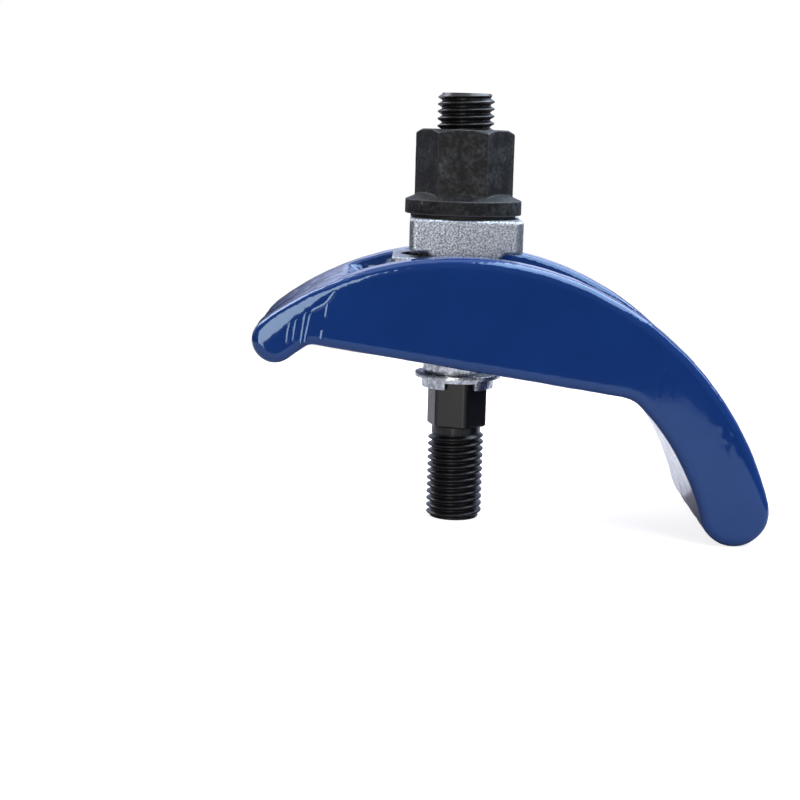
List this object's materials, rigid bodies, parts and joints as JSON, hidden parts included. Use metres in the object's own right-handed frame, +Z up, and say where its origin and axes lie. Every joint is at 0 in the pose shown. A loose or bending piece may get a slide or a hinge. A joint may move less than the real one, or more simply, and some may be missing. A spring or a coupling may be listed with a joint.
{
  "type": "mould clamp",
  "caption": "Arched mould clamp: slotted blue casting with a heel and a nose, sliding square plates, a double-ended stud and a collar nut.",
  "frame": {"origin": "centre of the stud's lower end face, on the surface that the clamp stands on", "axes": "+Z up along the stud's axis, +X from the stud to the heel, +Y across the clamp"},
  "size_m": [0.1778, 0.075, 0.151],
  "materials": {
    "blue_enamel": "glossy enamel over a cast surface",
    "zinc_plated_steel": "bright zinc, speckled on cut faces",
    "black_oxide_steel": "satin black oxide with oil"
  },
  "bodies": {
    "clamp": {"clamp_body": "blue_enamel"},
    "block": {"upper_block": "zinc_plated_steel"},
    "saddle": {"saddle_block": "zinc_plated_steel"},
    "stud": {"stud": "black_oxide_steel", "sleeve": "zinc_plated_steel", "retaining_ring": "zinc_plated_steel"},
    "washer": {"nut_washer": "black_oxide_steel"},
    "nut": {"nut": "black_oxide_steel"}
  },
  "joints": [
    {"name": "stud_travel", "type": "hinge", "parent": "clamp", "child": "block", "pos_m": [0, 0, -0.01431], "axis": [0, 1, 0], "range_deg": [-4, 26]},
    {"name": "saddle_shift", "type": "slide", "parent": "block", "child": "saddle", "axis": [1, 0, 0], "range_m": [-0.0004, 0.0114]},
    {"name": "stud_turn", "type": "hinge", "parent": "block", "child": "stud", "pos_m": [0, 0, 0], "axis": [0, 0, 1], "continuous": true},
    {"name": "nut_travel", "type": "slide", "parent": "stud", "child": "washer", "axis": [0, 0, 1], "range_m": [0, 0.0125]},
    {"name": "nut_spin", "type": "hinge", "parent": "washer", "child": "nut", "pos_m": [0, 0, 0], "axis": [0, 0, 1], "range_deg": [0, 1801]}
  ],
  "couplings": [
    {"joint": "nut_spin", "follows": "nut_travel", "rad_per_m": 2513.3}
  ]
}
